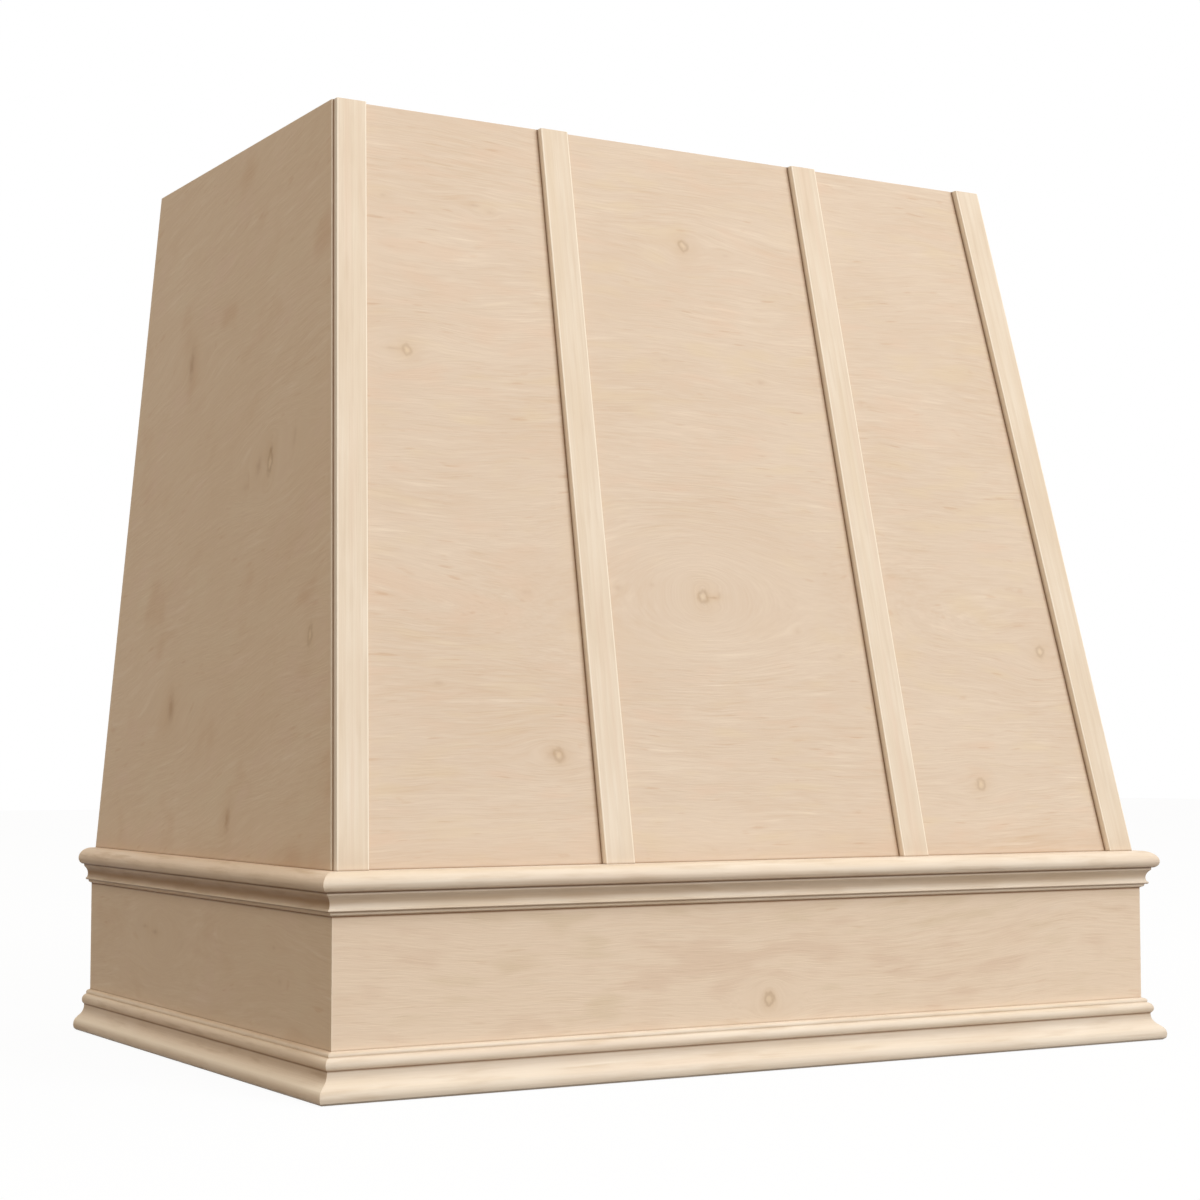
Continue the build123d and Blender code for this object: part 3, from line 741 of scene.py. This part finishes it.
# ---- knots: along, across, half width, half height, reach, ring, bark ----
FRONT_KNOTS = (
    (-0.0079, 0.6750, 0.0046, 0.0048, 0.022, 0.9, 0.0),
    (-0.2779, 0.5589, 0.0042, 0.0044, 0.020, 0.7, 0.0),
    (-0.0321, 0.3724, 0.0048, 0.0056, 0.020, 0.9, 0.0),
    (-0.0225, 0.3720, 0.0045, 0.0009, 0.008, 0.0, 0.7),
    (-0.0155, 0.3745, 0.0022, 0.0024, 0.008, 0.0, 0.25),
    (-0.2900, 0.5592, 0.0070, 0.0010, 0.008, 0.0, 0.4),
    (-0.1890, 0.2450, 0.0035, 0.0030, 0.008, 0.0, 0.3),
    (0.3135, 0.3352, 0.0044, 0.0048, 0.024, 0.8, 0.0),
    (-0.1813, 0.2448, 0.0048, 0.0052, 0.026, 0.8, 0.35),
    (0.2250, 0.2204, 0.0044, 0.0050, 0.018, 0.75, 0.0),
    (-0.3350, 0.4300, 0.0030, 0.0012, 0.012, 0.0, 0.5),
    (-0.2050, 0.6870, 0.0050, 0.0011, 0.010, 0.0, 0.4),
    (-0.1114, 0.3769, 0.0040, 0.0022, 0.006, 0.0, 0.30),
    (-0.0794, 0.3805, 0.0030, 0.0016, 0.006, 0.0, 0.22),
    (0.0942, 0.3261, 0.0034, 0.0016, 0.006, 0.0, 0.26),
    (0.0570, 0.3461, 0.0028, 0.0020, 0.006, 0.0, 0.20),
    (-0.1913, 0.6823, 0.0034, 0.0014, 0.006, 0.0, 0.24),
    (-0.2860, 0.6858, 0.0030, 0.0014, 0.006, 0.0, 0.24),
    (-0.2785, 0.2985, 0.0046, 0.0018, 0.006, 0.0, 0.34),
    (-0.1942, 0.3707, 0.0046, 0.0022, 0.006, 0.0, 0.28),
    (0.0339, 0.6707, 0.0036, 0.0014, 0.006, 0.0, 0.24),
    (0.0536, 0.5594, 0.0036, 0.0018, 0.006, 0.0, 0.32),
    (-0.0404, 0.5715, 0.0040, 0.0014, 0.006, 0.0, 0.22),
    (0.1558, 0.6454, 0.0034, 0.0014, 0.006, 0.0, 0.22),
)
SIDE_KNOTS = (
    (0.1463, 0.5860, 0.0062, 0.0118, 0.040, 0.0, 1.0),
    (-0.0583, 0.4779, 0.0050, 0.0092, 0.034, 0.9, 0.0),
    (-0.0590, 0.4875, 0.0032, 0.0044, 0.014, 0.0, 0.7),
    (-0.0350, 0.4770, 0.0050, 0.0070, 0.020, 0.0, 0.6),
    (-0.0100, 0.4620, 0.0070, 0.0030, 0.012, 0.0, 0.28),
    (-0.1050, 0.4930, 0.0040, 0.0080, 0.020, 0.0, 0.3),
    (-0.1717, 0.3345, 0.0040, 0.0080, 0.022, 0.7, 0.0),
    (0.1135, 0.2848, 0.0065, 0.0105, 0.045, 0.0, 1.0),
    (-0.0397, 0.1935, 0.0050, 0.0080, 0.020, 0.0, 1.0),
)
APRON_KNOTS = ((-0.0080, 0.0538, 0.0048, 0.0052, 0.022, 0.85, 0.0),)
APRON_SIDE_KNOTS = (
    (-0.1530, 0.1011, 0.0034, 0.0018, 0.012, 0.0, 0.35),
    (-0.1650, 0.0769, 0.0030, 0.0018, 0.010, 0.0, 0.30),
    (0.1061, 0.0967, 0.0060, 0.0018, 0.016, 0.0, 0.60),
    (0.1310, 0.1002, 0.0060, 0.0014, 0.012, 0.0, 0.45),
)

finishes = {
    "canopy_front": veneer(
        "canopy_front_veneer", along=x_of, across=z_of, inward=depth_from_front,
        thickness=PANEL_THICKNESS, corner=depth_from_side, shadow=front_shadow,
        base=VENEER, knots=FRONT_KNOTS, eye=(-0.0321, 0.3724, 0.062), seed=1.0,
        strength=0.94, mottle=0.06, arris_highlight=0.85,
    ),
    "canopy_side": veneer(
        "canopy_side_veneer", along=y_of, across=z_of, inward=depth_from_side,
        thickness=PANEL_THICKNESS, corner=depth_from_front, shadow=side_shadow,
        base=SHADE_TINTED_VENEER, knots=SIDE_KNOTS, eye=(-0.0583, 0.4779, 0.016), seed=21.0,
        strength=0.76, mottle=0.27, arris_highlight=0.85, tilt=0.22, coarse=2.0,
    ),
    "apron_front": veneer(
        "apron_front_veneer", along=x_of, across=z_of, inward=depth_from_apron_front,
        thickness=APRON_THICKNESS, corner=depth_from_apron_side, shadow=apron_shadow,
        base=APRON_PAINTED_LIGHTER, knots=APRON_KNOTS, eye=(-0.0080, 0.0538, 0.012), seed=41.0,
        strength=0.54, mottle=0.07, arris_highlight=0.30,
    ),
    "apron_side": veneer(
        "apron_side_veneer", along=y_of, across=z_of, inward=depth_from_apron_side,
        thickness=APRON_THICKNESS, corner=depth_from_apron_front, shadow=apron_shadow,
        base=SHADE_TINTED_VENEER, knots=APRON_SIDE_KNOTS, eye=(0.0900, 0.0930, 0.036), seed=61.0,
        strength=0.85, mottle=0.16, arris_highlight=0.30, coarse=1.5,
    ),
    "strap": maple(
        "strap_maple", z_of, across_strap, depth_from_front, 2.0, strap_shadow,
        base=STRAP, mottle=0.14, pinkness=0.4, corner=strap_corner,
    ),
    "moulding_front": maple(
        "moulding_front_maple", x_of, y_of, z_of, 5.0, moulding_shadow, shades=COVE_SHADE
    ),
    "moulding_side": maple(
        "moulding_side_maple", y_of, x_of, z_of, 8.0, side_moulding_shadow,
        base=SHADE_TINTED_MAPLE, mottle=0.50, lights=SIDE_MOULDING_HIGHLIGHTS, shades=SIDE_COVE_SHADE,
        gloss=SHADY_GLOSS,
    ),
    "lumber_x": lumber("lumber_along_x", x_of, y_of, z_of, 1.0),
    "lumber_y": lumber("lumber_along_y", y_of, x_of, z_of, 4.0),
    "lumber_z": lumber("lumber_along_z", z_of, x_of, y_of, 7.0),
    "screw": plated_steel("plated_steel"),
}


def finish_of(name):
    """Which finish a CAD node has, from its name."""
    sideways = name.endswith(("_left", "_right"))
    if "screws" in name:
        return "screw"
    if name.startswith("canopy_panel"):
        return "canopy_side" if sideways else "canopy_front"
    if name.startswith(("apron_corner_block", "corner_cleat")):
        return "lumber_z"
    if name.startswith("apron"):
        return "apron_side" if sideways else "apron_front"
    if name.startswith("strap"):
        return "strap"
    if "moulding" in name:
        return "moulding_side" if sideways else "moulding_front"
    return "lumber_y" if sideways else "lumber_x"


# ---- arrises ----
JOIN_WITHIN = 0.01 * MM
FLAT_WITHIN = math.radians(0.3)
ARRIS_ANGLE = math.radians(32)
ARRIS_SEGMENTS = 2
BY_FACE_AREA = 80  # how much more a large face counts than a small one in the shading


def join_up(piece):
    """The frame's faces are apart, and a few of them have no area."""
    piece.modifiers.new("joined", "WELD").merge_threshold = JOIN_WITHIN


def soften(piece):
    """Small rounded arrises."""
    flat = piece.modifiers.new("flat", "DECIMATE")
    flat.decimate_type = "DISSOLVE"
    flat.angle_limit = FLAT_WITHIN
    bevel = piece.modifiers.new("arris", "BEVEL")
    bevel.width = ARRIS_RADIUS
    bevel.segments = ARRIS_SEGMENTS
    bevel.limit_method = "ANGLE"
    bevel.angle_limit = ARRIS_ANGLE
    bevel.use_clamp_overlap = True
    normals = piece.modifiers.new("shading", "WEIGHTED_NORMAL")
    normals.keep_sharp = False
    normals.weight = BY_FACE_AREA


for name, piece in nodes.items():
    piece.data.materials.clear()
    piece.data.materials.append(finishes[finish_of(name)])
    join_up(piece)
    if "screws" not in name:
        soften(piece)

# ---- camera ----
CAMERA_PLACE = (-1.0719, -1.8224, 0.2430)
CAMERA_PITCH, CAMERA_YAW = 93.776, -30.216  # degrees
LENS, SENSOR_WIDTH = 71.49, 36.0  # millimetres
SEEN_FROM, SEEN_TO = 0.01, 60.0

camera = bpy.data.objects.new("camera", bpy.data.cameras.new("camera"))
bpy.context.scene.collection.objects.link(camera)
camera.location = CAMERA_PLACE
camera.rotation_euler = (math.radians(CAMERA_PITCH), 0.0, math.radians(CAMERA_YAW))
camera.data.sensor_fit = "HORIZONTAL"
camera.data.sensor_width = SENSOR_WIDTH
camera.data.lens = LENS
camera.data.clip_start = SEEN_FROM
camera.data.clip_end = SEEN_TO
bpy.context.scene.camera = camera

# ---- floor and lights ----
FLOOR_HALF = 9.0
FLOOR_DROP = 0.5 * MM
FLOOR_GLOW = 0.94  # the rest of the white floor takes light and shade
AIM = (0.0, 0.0, 0.4)

bpy.context.scene.view_settings.view_transform = "Standard"


def seen_directly(g):
    """1 for what is seen itself or in a reflection, 0 for light on its way elsewhere."""
    path = g.add("LightPath").outputs
    seen = g.math("MAXIMUM", path["Is Camera Ray"], path["Is Glossy Ray"])
    return g.math("MAXIMUM", seen, path["Is Transmission Ray"])


def make_floor():
    """A floor that looks white, and lights the cover from below as a dull brown one does."""
    mesh = bpy.data.meshes.new("floor")
    signs = ((-1, -1), (1, -1), (1, 1), (-1, 1))
    corners = [(x * FLOOR_HALF, y * FLOOR_HALF, 0.0) for x, y in signs]
    mesh.from_pydata(corners, [], [(0, 1, 2, 3)])
    floor = bpy.data.objects.new("floor", mesh)
    floor.location.z = -FLOOR_DROP
    bpy.context.scene.collection.objects.link(floor)
    material = bpy.data.materials.new("floor")
    material.use_nodes = True
    g = Graph(material.node_tree)
    g.tree.nodes.remove(g.tree.nodes["Principled BSDF"])
    dull = g.fill(g.add("BsdfDiffuse"), FLOOR_BOUNCE)[0]
    pale = g.fill(g.add("BsdfDiffuse"), FLOOR_PALE)[0]
    white = g.fill(g.add("Emission"), WHITE, 1.0)[0]
    shown = g.fill(g.add("MixShader"), FLOOR_GLOW, pale, white)[0]
    surface = g.fill(g.add("MixShader"), seen_directly(g), dull, shown)[0]
    g.feed(g.tree.nodes["Material Output"].inputs["Surface"], surface)
    mesh.materials.append(material)


def make_world():
    """A pale, warm light from all round, which itself looks white."""
    world = bpy.data.worlds.new("studio")
    bpy.context.scene.world = world
    world.use_nodes = True
    g = Graph(world.node_tree)
    g.fill(g.tree.nodes["Background"], g.mix(seen_directly(g), WORLD_GLOW, WHITE), 1.0)


def lamp(name, place, size, power, color):
    """A round soft light, aimed at the middle of the cover."""
    light = bpy.data.lights.new(name, "AREA")
    light.shape = "DISK"
    light.size = size
    light.energy = power
    light.color = color
    holder = bpy.data.objects.new(name, light)
    holder.location = place
    holder.rotation_euler = (Vector(AIM) - Vector(place)).to_track_quat("-Z", "Y").to_euler()
    bpy.context.scene.collection.objects.link(holder)


make_floor()
make_world()
lamp("key", (2.2, -4.9, 2.2), size=3.2, power=136.0, color=KEY_LIGHT)
lamp("top", (0.0, -1.9, 5.0), size=3.0, power=72.0, color=TOP_LIGHT)
